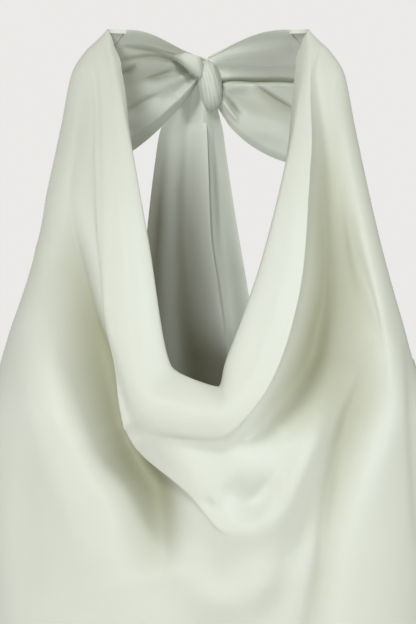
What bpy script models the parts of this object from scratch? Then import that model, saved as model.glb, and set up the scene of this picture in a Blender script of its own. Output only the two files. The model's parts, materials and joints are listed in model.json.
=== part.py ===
"""Cowl neck maxi dress with a scarf halter, kept in the hollow shape that it has when it is worn.

Blender 4.5, metres, +Z up. The front faces -Y and +X is the viewer's right. The origin is the middle of
the neck loop, level with the two points where the halter is highest beside the neck.
Tables and named sizes are in millimetres, and MM turns them into metres.

The cloth is worked out in three numbers: an angle round the body (0 at centre front, 90 at the side
seam, 180 at centre back), a height, and how far it stands off the body form along its outward normal.
"""

import math

import bpy
import numpy as np

MM = 0.001

# Sizes of the cut, in millimetres
CLOTH = 1.4
SIDE_SEAM_GAP = 0.9
TIE_SEAM_GAP = 1.1
HEM_HEIGHT = -1390.0
NECK_BACK_HEIGHT = -345.0
UNDERARM_HEIGHT = -222.0
STRAP_OUTER_HEIGHT = -57.0

# The shoulder seam runs behind the ridge near the neck and comes up onto it further out
SIDE_ANGLE = 90.0
CREST_ANGLE = 88.0
NECK_SEAM_ANGLE = 124.0
SEAM_TURN_HEIGHT = -19.0

# Mesh counts
FRONT_COLUMNS = 30
BACK_COLUMNS = 20
BACK_ROWS_EACH = 2
TIE_ALONG = 11
TIE_ACROSS = 14
TAIL_ACROSS = 8
KNOT_ROUND = 28

# Columns are packed towards the sides, where the surface turns fastest
FRONT_COLUMN_POWER = 0.92

SATIN = (0.70, 0.735, 0.645, 1.0)
SATIN_ROUGHNESS = 0.45

# The body form. Half widths are what the front view shows, side_y is where the panel's side line runs
# (the side seam, the armhole's edge and, at the top, the ridge of the shoulder).
# Columns: height, half_width, side_y, front_depth, back_depth
FORM = (
    (8, 64.0, 6, 2, 60),
    (0, 67.0, 6, 5, 62),
    (-7, 73.0, 6, 13, 64),
    (-15, 81.5, 6, 21, 66),
    (-30, 91.0, 6, 36, 70),
    (-48, 95.0, 6, 53, 74),
    (-60, 97.0, 4, 62, 76),
    (-95, 103.5, -14, 83, 80),
    (-130, 111.0, -26, 99, 84),
    (-182, 124.5, -20, 115, 88),
    (-222, 137.5, 0, 124, 90),
    (-265, 148.0, 0, 130, 92),
    (-340, 149.0, 0, 125, 90),
    (-420, 147.0, 0, 117, 86),
    (-500, 158.0, 0, 115, 98),
    (-620, 182.0, 0, 121, 122),
    (-800, 198.0, 0, 128, 128),
    (-1000, 216.0, 0, 137, 136),
    (-1200, 233.0, 0, 146, 145),
    (-1400, 248.0, 0, 154, 153),
)

# Where the stations of a cowl row lie across the panel, from the seam behind the left shoulder (-1) to
# the one behind the right shoulder (1). "crest" is the ridge of the shoulder.
STATIONS = {
    "left seam": -1.0,
    "left crest": -0.94,
    "left neck": -0.84,
    "left chest": -0.67,
    "left side": -0.46,
    "left low": -0.25,
    "middle": -0.07,
    "bottom": 0.06,
    "right low": 0.20,
    "right side": 0.44,
    "right chest": 0.67,
    "right neck": 0.84,
    "right crest": 0.94,
    "right seam": 1.0,
}

# The cowl, from the neckline down: a row for each fold line. crest is the row's height on both shoulder
# ridges. Each other column is one station, (across, height, stands off the form).
# Columns: crest, left neck, left chest, left side, left low, middle, bottom, right low, right side,
# right chest, right neck
COWL = {
    "neckline edge": (
        -0.5, (-63, -22, 0), (-54, -67, 2), (-39, -142, 3), (-24, -221, 4), (-9, -232.5, 5),
        (7, -238, 4), (12.5, -212, 4), (33, -162, 3), (54, -82, 2), (64.5, -21, 0),
    ),
    "first roll": (
        -2.5, (-67, -26, 3), (-61, -78, 9), (-52, -165, 14), (-42, -241, 17), (-15, -251, 19),
        (5, -254, 18), (23, -236, 15), (47, -174, 12), (61, -88, 7), (66.5, -24, 2),
    ),
    "first contour": (
        -5, (-71, -30, 3), (-68, -85, 8), (-65, -190, 13), (-56, -256, 16), (-20, -267, 17),
        (6, -269, 16), (31, -249, 13), (57, -186, 11), (67.5, -92, 7), (68, -27, 2),
    ),
    "first tuck": (
        -7, (-73, -32, 2.5), (-70, -88, 7), (-66, -196, 12.5), (-56, -260, 15.5), (-19, -270, 15),
        (8, -272, 13), (28, -248, 6), (51, -184, 1), (63, -93, 1), (69.5, -29, 0.5),
    ),
    "first trough": (
        -9, (-74.5, -34, 2), (-71.5, -91, 6.5), (-66, -202, 12), (-55.5, -263, 15), (-17, -275, 13.5),
        (12, -277, 11), (38, -258, 0), (73, -206, -6), (76, -98, -5), (72, -32, -1),
    ),
    "second fold": (
        -13, (-76, -36, 2), (-73, -95, 6), (-65.5, -208, 11.5), (-55, -267, 14.5), (-15, -289, 14),
        (12, -296, 12), (45, -280, 4), (82, -224, -2), (85, -112, -2), (76.5, -36, 0),
    ),
    "second contour": (
        -19, (-78, -39, 1.5), (-74, -99, 5), (-64.5, -215, 11), (-53.5, -272, 14), (-14, -303, 13),
        (12, -322, 10.5), (48, -300, 6.5), (87, -244, 3), (91, -132, 2), (81, -41, 1),
    ),
    "second tuck": (
        -23, (-80, -42, 1), (-77, -103, 3), (-61, -217, 4), (-49.5, -270, 5), (-11, -303, 6),
        (13, -328, 9.5), (50, -305, 5.8), (89, -250, 2.5), (93, -139, 1.5), (84, -45, 1),
    ),
    "second trough": (
        -32, (-85, -49, 0), (-92, -112, -1.5), (-81, -226, -5), (-56, -285, -6), (-14, -315, -1),
        (13, -339, 6.5), (54, -320, 4.5), (93, -262, 1.5), (97, -150, 0), (88, -51, 0),
    ),
}
# Mesh rows that lead down from the facing's edge and from each row above
COWL_STEPS = (2, 2, 2, 1, 1, 2, 2, 1, 2, 3)

# The facing that is turned in behind the neckline edge
FACING_REACH = 0.6
FACING_DEPTH = 9.0
FACING_END_DEPTH = 3.5
FACING_CREST = -4.0

# The plain rows under the cowl: height at the panel's side, height at the middle, and the power of the
# curve between them. The last column is how many mesh rows lead down to the next one.
# Columns: side, middle, power, steps
PLAIN = (
    (STRAP_OUTER_HEIGHT, -352, 1.5, 2),
    (-105, -368, 1.6, 2),
    (-163, -384, 1.7, 2),
    (UNDERARM_HEIGHT, -402, 1.8, 2),
    (-290, -428, 1.9, 2),
    (-365, -460, 2.0, 2),
    (-450, -500, 2.0, 2),
    (-550, -575, 2.0, 2),
    (-680, -690, 2.0, 2),
    (-850, -850, 2.0, 2),
    (-1030, -1030, 2.0, 2),
    (-1210, -1210, 2.0, 3),
    (HEM_HEIGHT, HEM_HEIGHT, 2.0, 0),
)

# The back panel's rows, from its low neck edge to the hem
# Columns: side, middle, power
BACK = (
    (UNDERARM_HEIGHT, NECK_BACK_HEIGHT, 2.2),
    (-252, -362, 2.2),
    (-300, -388, 2.1),
    (-365, -425, 2.0),
    (-450, -480, 2.0),
    (-550, -560, 2.0),
    (-680, -680, 2.0),
    (-850, -850, 2.0),
    (-1030, -1030, 2.0),
    (-1210, -1210, 2.0),
    (HEM_HEIGHT, HEM_HEIGHT, 2.0),
)

# Soft creases of the bodice: a path in the front view, how wide, and how far it pushes the cloth out
# (a trough is below zero).
# Columns: path, width, push
CREASES = {
    "left valley": (((-58, -262), (-45, -298), (-34, -332), (-27, -368)), 12, -9),
    "left ridge": (((-118, -205), (-104, -262), (-88, -315), (-74, -350)), 16, 3),
    "right ridge": (((111, -196), (100, -238), (86, -290), (73, -338), (66, -366)), 8, 3.5),
    "right valley": (((104, -236), (95, -278), (84, -310), (78, -340)), 9, -3),
    "low swag": (((-24, -362), (8, -372), (34, -362), (60, -342)), 13, 4),
}
CREASE_STEPS = 40
CREASE_END = 0.04
CREASE_FADE_POWER = 0.6

# The skirt's flutes: angle round the body, the height where the flute starts, how far it stands out at
# the hem, and half its width in degrees.
# Columns: angle, start, push, half_width
FLUTES = (
    (-152, -560, 24, 19),
    (-112, -520, 20, 17),
    (-74, -500, 23, 18),
    (-41, -540, 18, 15),
    (-12, -620, 21, 16),
    (21, -560, 17, 15),
    (52, -520, 24, 18),
    (88, -500, 19, 16),
    (124, -560, 24, 19),
    (163, -600, 20, 17),
)
# A flute's mean push round the whole hem, which is taken off so that the hem keeps its width
FLUTE_SHARE = 0.05
FLUTE_POWER = 1.3

# The knot at the nape, section by section from left to right. Its left end is the flat wrap that comes
# off the left tie, and its body is the wrap that goes down over both ties.
KNOT_Y = 78.0
# Columns: across, height, half_height, half_depth
KNOT = (
    (-7.0, -27, 7, 4), (-6.2, -28, 9, 7), (-5.0, -29.5, 12, 9), (-3.2, -32, 15.5, 11.5),
    (0, -34.5, 17.8, 13), (3.4, -35.5, 17, 13), (6.2, -36.5, 14.5, 11.5), (8.3, -37, 11, 9),
    (9.6, -37.5, 7, 6),
)
KNOT_GAP = 0.9
KNOT_PLEATS = 7
KNOT_PLEAT_DEPTH = 0.7
KNOT_PLEAT_TWIST = 0.5

# The two neck ties, from the shoulder seam back to the knot. The reach columns give how far the cloth runs
# on along its own direction at each end, which sets how full it hangs behind the neck.
# Columns: seam_reach, seam_drop, knot_reach, knot_rise, knot_height
TIES = {
    "left": {"top": (66, 4, 60, -10, -13.8), "foot": (70, -225, 54, 90, -31)},
    "right": {"top": (66, 4, 62, -29, -12.4), "foot": (70, -175, 50, 108, -49.6)},
}
TIE_PLEATS = 3
TIE_PLEAT_DEPTH = 2.6
TIE_KNOT_Y = 77.0
TIE_KNOT_BACKWARD = 12.0
TIE_ROW_POWER = 1.6
TIE_TOP_HEIGHT = -0.5
TIE_FOOT_HEIGHT = -56.5
# Degrees round the body over which the tie's first direction is taken
TIE_LOOK_AHEAD = 4.0
# Where along the tie its pleats start, and where they are full
TIE_PLEAT_START = 0.19
TIE_PLEAT_FULL = 0.81

# The tie ends below the knot
# Columns: height, left, right, y
TAILS = {
    "left": (
        (-30, -13, -5.2, 88.95), (-42, -21, -5, 88.9), (-54, -27.5, -3.6, 87), (-66, -33, -2.8, 84.5),
        (-88, -36.5, -0.7, 84), (-135, -42, 2, 86), (-172, -45, 7, 88), (-217, -48, 13, 91),
        (-260, -50, 17, 94), (-345, -50, 21, 99), (-430, -49, 23, 99), (-500, -47, 24, 109),
        (-560, -45, 25, 121), (-590, -20, 25, 126),
    ),
    "right": (
        (-52.9, -0.4, 6.8, 78), (-65, -0.6, 10.3, 83), (-77, 0.2, 12, 89), (-112, -3, 17.2, 94),
        (-150, -5, 23.5, 95), (-174, -5, 27.6, 98), (-217, -5, 34, 101), (-260, -5, 39, 104),
        (-345, -6, 46, 108), (-430, -8, 49, 108), (-500, -8, 51, 117), (-560, -8, 52, 129),
        (-585, 24, 52, 133),
    ),
}
TAIL_ROWS_EACH = 2
# The soft wave across each tie end, full where the end is this wide
TAIL_WAVE = {"left": -3.0, "right": -2.6}
TAIL_WAVES = 1.25
TAIL_FULL_WIDTH = 40.0


def ease(knots, values, at):
    """Smooth curve through values at rising knots, with no overshoot. values may have columns."""
    knots = np.asarray(knots, float)
    values = np.asarray(values, float).reshape(len(knots), -1)
    at = np.clip(np.atleast_1d(np.asarray(at, float)), knots[0], knots[-1])
    steps = np.diff(knots)[:, None]
    slopes = np.diff(values, axis=0) / steps
    tangents = np.zeros_like(values)
    before, after = slopes[:-1], slopes[1:]
    same = before * after > 0
    mean = np.where(same, 2 * before * after / np.where(same, before + after, 1.0), 0.0)
    tangents[1:-1] = mean
    tangents[0], tangents[-1] = slopes[0], slopes[-1]
    i = np.clip(np.searchsorted(knots, at, side="right") - 1, 0, len(knots) - 2)
    h = steps[i]
    t = (at - knots[i])[:, None] / h
    return (
        (2 * t**3 - 3 * t**2 + 1) * values[i]
        + (t**3 - 2 * t**2 + t) * h * tangents[i]
        + (3 * t**2 - 2 * t**3) * values[i + 1]
        + (t**3 - t**2) * h * tangents[i + 1]
    )


FORM_RISING = np.array(FORM[::-1], float)


def form_at(height):
    """half_width, side_y, front_depth and back_depth of the body form at each height, as columns."""
    flat = np.asarray(height, float).ravel()
    rows = ease(FORM_RISING[:, 0], FORM_RISING[:, 1:], flat)
    return [rows[:, k].reshape(np.shape(height)) for k in range(4)]


def seam_angle(height):
    """Where the shoulder seam lies round the body: behind the ridge near the neck, on it further out."""
    run = (height - STRAP_OUTER_HEIGHT) / (SEAM_TURN_HEIGHT - STRAP_OUTER_HEIGHT)
    return SIDE_ANGLE + (NECK_SEAM_ANGLE - SIDE_ANGLE) * np.clip(run, 0.0, 1.0)


def flutes_at(angle, height):
    """How far the skirt's flutes push the cloth out."""
    total = np.zeros_like(angle)
    for centre, start, push, half_width in FLUTES:
        away = (angle - centre + 180.0) % 360.0 - 180.0
        run = np.clip((start - height) / (start - HEM_HEIGHT), 0.0, 1.0)
        bump = np.cos(np.clip(away / half_width, -1.0, 1.0) * math.pi / 2) ** 2
        total += push * run**FLUTE_POWER * (bump - FLUTE_SHARE)
    return total


def place(angle, height, off):
    """The point at an angle round the body (degrees) and a height, off millimetres outside the form."""
    half_width, side_y, front, back = form_at(height)
    turn = np.radians(angle)
    behind = np.abs(angle) > SIDE_ANGLE
    depth = np.where(behind & (height <= UNDERARM_HEIGHT), back - side_y, front + side_y)
    x = half_width * np.sin(turn)
    y = side_y - depth * np.cos(turn)
    off = off + flutes_at(angle, height)
    return np.stack([x + off * np.sin(turn), y - off * np.cos(turn), height], axis=-1)


def angle_of(across, height):
    """The angle at which the form reaches that far across at that height."""
    half_width = form_at(height)[0]
    return np.degrees(np.arcsin(np.clip(across / half_width, -0.999, 0.999)))


def cowl_row(name):
    """(angle, height, off) at each station of one of the cowl's rows."""
    crest, *stations = COWL[name]
    across, height, off = np.array(stations, float).T
    angle = angle_of(across, height)
    turned = float(seam_angle(crest))
    ends = [(turned, crest, 0.0), (CREST_ANGLE, crest, 0.0)]
    left = [(-a, h, o) for a, h, o in ends]
    right = ends[::-1]
    return np.array([*left, *zip(angle, height, off), *right], float)


def facing_row(edge, roll):
    """The facing's free edge, behind the first roll."""
    row = edge + FACING_REACH * (roll - edge)
    row[:, 2] = edge[:, 2] - FACING_DEPTH
    ends = [0, 1, -2, -1]
    row[ends, 1] = FACING_CREST
    row[ends, 2] = -FACING_END_DEPTH
    return row


def plain_row(across, side, middle, power):
    """(angle, height, off) of a plain row at positions -1 to 1 across the panel."""
    height = middle + (side - middle) * np.abs(across) ** power
    return np.stack([SIDE_ANGLE * across, height, np.zeros_like(across)], axis=-1)


def crease_push(points):
    """How far the bodice's soft creases push each point out."""
    x, z = points[..., 0], points[..., 2]
    total = np.zeros_like(x)
    for path, width, push in CREASES.values():
        path = np.array(path, float)
        fine = ease(np.arange(len(path)), path, np.linspace(0, len(path) - 1, CREASE_STEPS))
        gaps = np.hypot(x[..., None] - fine[:, 0], z[..., None] - fine[:, 1])
        nearest = gaps.argmin(axis=-1) / (len(fine) - 1)
        nearest = np.clip(nearest, CREASE_END, 1.0 - CREASE_END)
        fade = np.sin(math.pi * nearest) ** CREASE_FADE_POWER
        total += push * fade * np.exp(-((gaps.min(axis=-1) / width) ** 2))
    return total


def front_points():
    """The front panel from the facing to the hem, as a grid of points."""
    across = np.linspace(-1.0, 1.0, FRONT_COLUMNS + 1)
    across = np.sign(across) * np.abs(across) ** FRONT_COLUMN_POWER
    stations = list(STATIONS.values())
    cowl = [cowl_row(name) for name in COWL]
    cowl.insert(0, facing_row(cowl[0], cowl[1]))
    rows = [ease(stations, row, across) for row in cowl]
    rows += [plain_row(across, *row[:3]) for row in PLAIN]
    steps = [*COWL_STEPS, *(row[3] for row in PLAIN)]
    levels = [k + i / n for k, n in enumerate(steps) for i in range(n)] + [len(rows) - 1]
    stack = np.array(rows).reshape(len(rows), -1)
    net = ease(np.arange(len(rows)), stack, levels).reshape(len(levels), len(across), 3)
    angle, height, off = net[..., 0], net[..., 1], net[..., 2]
    return place(angle, height, off + crease_push(place(angle, height, off)))


def back_points():
    """The back panel from its low neck edge to the hem. It starts a seam's gap behind the front."""
    across = np.linspace(-1.0, 1.0, BACK_COLUMNS + 1)
    rows = np.array([plain_row(across, *row) for row in BACK])
    levels = np.linspace(0, len(rows) - 1, BACK_ROWS_EACH * (len(rows) - 1) + 1)
    net = ease(np.arange(len(rows)), rows.reshape(len(rows), -1), levels)
    net = net.reshape(len(levels), len(across), 3)
    angle = net[..., 0] % 360.0 - 180.0
    points = place(angle, net[..., 1], 0.0 * angle)
    points[..., 1] += SIDE_SEAM_GAP
    return points


def knot_side(sign, height):
    """How far across the knot reaches at each height, on the left (-1) or right (1) side."""
    sections = np.array(KNOT, float)
    across = np.linspace(sections[0, 0], sections[-1, 0], 80)
    middle = np.interp(across, sections[:, 0], sections[:, 1])
    half_height = np.interp(across, sections[:, 0], sections[:, 2]) + KNOT_PLEAT_DEPTH
    covered = np.abs(np.asarray(height)[:, None] - middle) <= half_height
    reach = np.where(covered, sign * across, 0.0).max(axis=1)
    return sign * reach


def tie_points(side):
    """One neck tie as a grid: rows from its top edge to its foot, columns from the seam to the knot."""
    sign = -1.0 if side == "left" else 1.0
    down = np.linspace(0.0, 1.0, TIE_ACROSS + 1)[:, None]
    along = np.linspace(0.0, 1.0, TIE_ALONG + 1)[None, :]
    top, foot = (np.array(TIES[side][end], float) for end in ("top", "foot"))
    height = TIE_TOP_HEIGHT + (TIE_FOOT_HEIGHT - TIE_TOP_HEIGHT) * down[:, 0]
    angle = seam_angle(height)
    start = place(sign * angle, height, 0.0 * height)
    ahead = place(sign * (angle + TIE_LOOK_AHEAD), height, 0.0 * height) - start
    ahead /= np.linalg.norm(ahead, axis=1)[:, None]
    start = start + ahead * TIE_SEAM_GAP
    reach, drop, knot_reach, rise, knot_height = (top + (foot - top) * down**TIE_ROW_POWER).T
    leave = ahead * reach[:, None]
    leave[:, 2] += drop
    knot_x = knot_side(sign, knot_height) + sign * KNOT_GAP
    end = np.stack([knot_x, np.full(len(down), TIE_KNOT_Y), knot_height], axis=1)
    arrive = np.stack([-sign * knot_reach, np.full(len(down), TIE_KNOT_BACKWARD), rise], axis=1)
    t = along[..., None]
    points = (
        (2 * t**3 - 3 * t**2 + 1) * start[:, None]
        + (t**3 - 2 * t**2 + t) * leave[:, None]
        + (3 * t**2 - 2 * t**3) * end[:, None]
        + (t**3 - t**2) * arrive[:, None]
    )
    wave = np.sin(2 * math.pi * TIE_PLEATS * down) * TIE_PLEAT_DEPTH
    points[..., 1] += wave * np.interp(along, (TIE_PLEAT_START, TIE_PLEAT_FULL), (0.0, 1.0))
    return points


def tail_points(side):
    """One tie end below the knot, as a grid of points."""
    rows = np.array(TAILS[side], float)
    levels = np.linspace(0, len(rows) - 1, TAIL_ROWS_EACH * (len(rows) - 1) + 1)
    rows = ease(np.arange(len(rows)), rows, levels)
    height, left, right, y = (rows[:, k][:, None] for k in range(4))
    across = np.linspace(0.0, 1.0, TAIL_ACROSS + 1)[None, :]
    x = left + (right - left) * across
    width = np.clip((right - left) / TAIL_FULL_WIDTH, 0.0, 1.0)
    bow = TAIL_WAVE[side] * width * np.sin(2 * math.pi * across * TAIL_WAVES)
    return np.stack([x, y + bow, height + 0.0 * x], axis=-1)


def sheet_faces(rows, columns):
    """Quads of a grid of points."""
    faces = []
    for r in range(rows - 1):
        for c in range(columns - 1):
            i = r * columns + c
            faces.append((i, i + columns, i + columns + 1, i + 1))
    return faces


def satin(name):
    """The pale green satin, as one piece's own material."""
    material = bpy.data.materials.new(name)
    material.use_nodes = True
    shader = material.node_tree.nodes["Principled BSDF"]
    shader.inputs["Base Color"].default_value = SATIN
    shader.inputs["Roughness"].default_value = SATIN_ROUGHNESS
    shader.inputs["Metallic"].default_value = 0.0
    return material


def new_object(name, vertices, faces, neck_loop, collection):
    """A mesh object of satin, shaded smooth and hung from the neck loop."""
    mesh = bpy.data.meshes.new(name)
    mesh.from_pydata([tuple(v) for v in vertices], [], faces)
    mesh.materials.append(satin(name))
    mesh.shade_smooth()
    obj = bpy.data.objects.new(name, mesh)
    obj.parent = neck_loop
    collection.objects.link(obj)
    return obj


def cloth(name, points, neck_loop, collection):
    """A sheet of cloth: an open surface through its middle points, thickened evenly both ways."""
    rows, columns = points.shape[:2]
    vertices = points.reshape(-1, 3) * MM
    obj = new_object(name, vertices, sheet_faces(rows, columns), neck_loop, collection)
    wall = obj.modifiers.new("wall", "SOLIDIFY")
    wall.thickness = CLOTH * MM
    wall.offset = 0.0
    return obj


def knot(neck_loop, collection):
    """The knot: a pleated wrap that lies across the nape."""
    turns = np.arange(KNOT_ROUND) * 2 * math.pi / KNOT_ROUND
    vertices = []
    for across, height, half_height, half_depth in KNOT:
        pleat = KNOT_PLEAT_DEPTH * np.cos(KNOT_PLEATS * turns + KNOT_PLEAT_TWIST * across)
        x = np.full(KNOT_ROUND, across)
        y = KNOT_Y + (half_depth + pleat) * np.cos(turns)
        z = height + (half_height + pleat) * np.sin(turns)
        vertices.append(np.stack([x, y, z], axis=1))
    faces = []
    for ring in range(len(KNOT) - 1):
        for i in range(KNOT_ROUND):
            a = ring * KNOT_ROUND + i
            b = ring * KNOT_ROUND + (i + 1) % KNOT_ROUND
            faces.append((a, b, b + KNOT_ROUND, a + KNOT_ROUND))
    last = (len(KNOT) - 1) * KNOT_ROUND
    faces.append(tuple(range(KNOT_ROUND))[::-1])
    faces.append(tuple(range(last, last + KNOT_ROUND)))
    return new_object("knot", np.concatenate(vertices) * MM, faces, neck_loop, collection)


def main():
    for obj in list(bpy.data.objects):
        bpy.data.objects.remove(obj)
    dress = bpy.data.collections.new("cowl_neck_maxi_dress")
    bpy.context.scene.collection.children.link(dress)
    neck_loop = bpy.data.objects.new("neck_loop", None)
    dress.objects.link(neck_loop)
    cloth("front", front_points(), neck_loop, dress)
    cloth("back", back_points(), neck_loop, dress)
    for side in ("left", "right"):
        cloth(f"neck_tie_{side}", tie_points(side), neck_loop, dress)
        cloth(f"tie_end_{side}", tail_points(side), neck_loop, dress)
    knot(neck_loop, dress)


main()
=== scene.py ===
"""Cowl neck maxi dress: a pale green satin halter dress in the hollow shape that it has when it is worn.

Tables are in millimetres, in the frame of the model: the front faces -Y, +X is the viewer's right, +Z up.
Places on the cloth are an angle round the body (0 centre front, 90 side seam, 180 centre back), a height,
and how far the cloth stands off the body form along its outward normal.
"""

from __future__ import annotations

import json
import logging
import math
from collections.abc import Sequence
from dataclasses import dataclass
from enum import Enum

import bpy
import numpy as np
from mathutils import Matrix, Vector

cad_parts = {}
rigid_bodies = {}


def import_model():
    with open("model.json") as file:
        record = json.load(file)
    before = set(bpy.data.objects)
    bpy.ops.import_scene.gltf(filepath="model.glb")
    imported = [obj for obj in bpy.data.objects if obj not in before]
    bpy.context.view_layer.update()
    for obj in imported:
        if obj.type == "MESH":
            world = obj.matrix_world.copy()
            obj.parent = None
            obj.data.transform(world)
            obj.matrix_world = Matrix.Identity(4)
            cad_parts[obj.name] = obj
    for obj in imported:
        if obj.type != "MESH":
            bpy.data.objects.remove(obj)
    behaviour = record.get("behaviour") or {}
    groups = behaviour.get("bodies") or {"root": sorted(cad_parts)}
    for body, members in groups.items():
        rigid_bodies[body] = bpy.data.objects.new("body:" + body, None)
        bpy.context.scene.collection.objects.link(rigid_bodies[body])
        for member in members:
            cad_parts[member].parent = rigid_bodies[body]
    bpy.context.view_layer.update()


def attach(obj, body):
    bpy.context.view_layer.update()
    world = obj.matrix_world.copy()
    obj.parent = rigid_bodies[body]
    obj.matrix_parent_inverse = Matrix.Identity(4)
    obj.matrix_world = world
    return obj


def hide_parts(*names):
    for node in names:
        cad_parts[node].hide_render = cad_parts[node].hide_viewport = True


LOG = logging.getLogger("dress")

MM = 0.001
BODY = "root"
SIDE_ANGLE = 90.0

Grid = np.ndarray
Row = tuple[float, ...]


class Side(Enum):
    """The viewer's left or right, as the sign of X."""

    LEFT = -1.0
    RIGHT = 1.0

    @property
    def label(self) -> str:
        """The side's name in a piece's name."""
        return self.name.lower()


def cubic(t: Grid, start: Grid, leave: Grid, end: Grid, arrive: Grid) -> Grid:
    """Places on a cubic curve between two ends.

    Args:
        t: 0 at the start and 1 at the end.
        start: Where it starts.
        leave: Its slope there.
        end: Where it ends.
        arrive: Its slope there.

    Returns:
        The places.
    """
    return (
        (2 * t**3 - 3 * t**2 + 1) * start
        + (t**3 - 2 * t**2 + t) * leave
        + (3 * t**2 - 2 * t**3) * end
        + (t**3 - t**2) * arrive
    )


def ease(knots: Sequence[float], values: Grid, at: Grid) -> Grid:
    """Smooth curve through values at rising knots, with no overshoot.

    Args:
        knots: Rising places of the values.
        values: One row of columns for each knot.
        at: Where the curve is read.

    Returns:
        One row of columns for each place in at.
    """
    knots = np.asarray(knots, float)
    values = np.asarray(values, float).reshape(len(knots), -1)
    at = np.clip(np.atleast_1d(np.asarray(at, float)), knots[0], knots[-1])
    steps = np.diff(knots)[:, None]
    slopes = np.diff(values, axis=0) / steps
    tangents = np.zeros_like(values)
    before, after = slopes[:-1], slopes[1:]
    same = before * after > 0
    tangents[1:-1] = np.where(same, 2 * before * after / np.where(same, before + after, 1.0), 0.0)
    tangents[0], tangents[-1] = slopes[0], slopes[-1]
    i = np.clip(np.searchsorted(knots, at, side="right") - 1, 0, len(knots) - 2)
    h = steps[i]
    t = (at - knots[i])[:, None] / h
    return cubic(t, values[i], h * tangents[i], values[i + 1], h * tangents[i + 1])


def fill_in(rows: Sequence[Grid], steps: Sequence[int]) -> tuple[Grid, Grid]:
    """Adds smooth rows between the rows of a table.

    Args:
        rows: Rows of one shape.
        steps: How many mesh rows lead from each to the next.

    Returns:
        All rows, and the place of each in the table.
    """
    table = np.array(rows, float)
    places = np.array([k + i / n for k, n in enumerate(steps) for i in range(n)] + [float(len(steps))])
    filled = ease(np.arange(len(table)), table.reshape(len(table), -1), places)
    return filled.reshape(len(places), *table.shape[1:]), places


def soften(grid: Grid, rounds: int) -> Grid:
    """Averages each point inside the rim with its neighbours, to round off small kinks.

    Args:
        grid: Rows by columns by values.
        rounds: How many times.

    Returns:
        The softened grid.
    """
    grid = grid.copy()
    for _ in range(rounds):
        mean = (grid[:-2, 1:-1] + grid[2:, 1:-1] + grid[1:-1, :-2] + grid[1:-1, 2:]) / 4
        grid[1:-1, 1:-1] = (grid[1:-1, 1:-1] + mean) / 2
    return grid


def hung_row(across: Grid, side: float, middle: float, power: Grid | float, off: Grid | float = 0.0) -> Grid:
    """A row of cloth that hangs in a curve from side seam to side seam.

    Args:
        across: Places from -1 to 1.
        side: Height at the sides.
        middle: Height in the middle.
        power: Power of the curve between.
        off: How far the cloth stands off the body form.

    Returns:
        Angle, height and off at each place.
    """
    height = middle + (side - middle) * np.abs(across) ** power
    return np.stack([SIDE_ANGLE * across, height, off + 0.0 * across], axis=-1)


def inset(edge: Grid, inner: Grid, width: float) -> Grid:
    """A line on the cloth beside its edge.

    Args:
        edge: Points of the edge.
        inner: The next points inside it.
        width: How far in.

    Returns:
        Points of the line.
    """
    run = inner - edge
    return edge + run * width / np.linalg.norm(run, axis=1)[:, None]


@dataclass(frozen=True)
class Flute:
    """A soft upright fold of the skirt: its angle, its top, how far it stands out at the hem, its half width."""

    angle: float
    start: float
    push: float
    half_width: float


@dataclass(frozen=True)
class BodyForm:
    """The smooth hollow that the cloth hangs round.

    Each row is height, half_width, side_y, front_depth and back_depth. side_y is where the side line of
    the panels runs: side seam, armhole edge and, at the top, the ridge of the shoulder.
    """

    rows: tuple[Row, ...]
    flutes: tuple[Flute, ...]
    hem: float
    underarm: float
    flute_share: float = 0.05
    flute_power: float = 1.3

    def at(self, height: Grid) -> list[Grid]:
        """half_width, side_y, front_depth and back_depth at each height.

        Args:
            height: Heights, of any shape.

        Returns:
            Four arrays of that shape.
        """
        rising = np.array(self.rows[::-1], float)
        flat = ease(rising[:, 0], rising[:, 1:], np.asarray(height, float).ravel())
        return [flat[:, k].reshape(np.shape(height)) for k in range(4)]

    def fluted(self, angle: Grid, height: Grid) -> Grid:
        """How far the flutes push the cloth out.

        Args:
            angle: Degrees round the body.
            height: Heights.

        Returns:
            The push at each place.
        """
        total = np.zeros_like(angle)
        for flute in self.flutes:
            away = (angle - flute.angle + 180.0) % 360.0 - 180.0
            run = np.clip((flute.start - height) / (flute.start - self.hem), 0.0, 1.0)
            bump = np.cos(np.clip(away / flute.half_width, -1.0, 1.0) * math.pi / 2) ** 2
            total += flute.push * run**self.flute_power * (bump - self.flute_share)
        return total

    def place(self, angle: Grid, height: Grid, off: Grid) -> Grid:
        """Points at these places on the cloth.

        Args:
            angle: Degrees round the body.
            height: Heights.
            off: Distance outside the form.

        Returns:
            The points, with x, y and z as the last axis.
        """
        half_width, side_y, front, back = self.at(height)
        turn = np.radians(angle)
        behind = np.abs(angle) > SIDE_ANGLE
        depth = np.where(behind & (height <= self.underarm), back - side_y, front + side_y)
        off = off + self.fluted(angle, height)
        x = (half_width + off) * np.sin(turn)
        y = side_y - (depth + off) * np.cos(turn)
        return np.stack([x, y, np.asarray(height, float) + 0.0 * x], axis=-1)

    def angle_of(self, across: Grid, height: Grid, off: Grid) -> Grid:
        """The angle at which cloth this far off the form reaches that far across.

        Args:
            across: X of each place.
            height: Height of each place.
            off: Distance outside the form.

        Returns:
            Degrees round the body.
        """
        return np.degrees(np.arcsin(np.clip(across / (self.at(height)[0] + off), -0.999, 0.999)))


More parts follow.
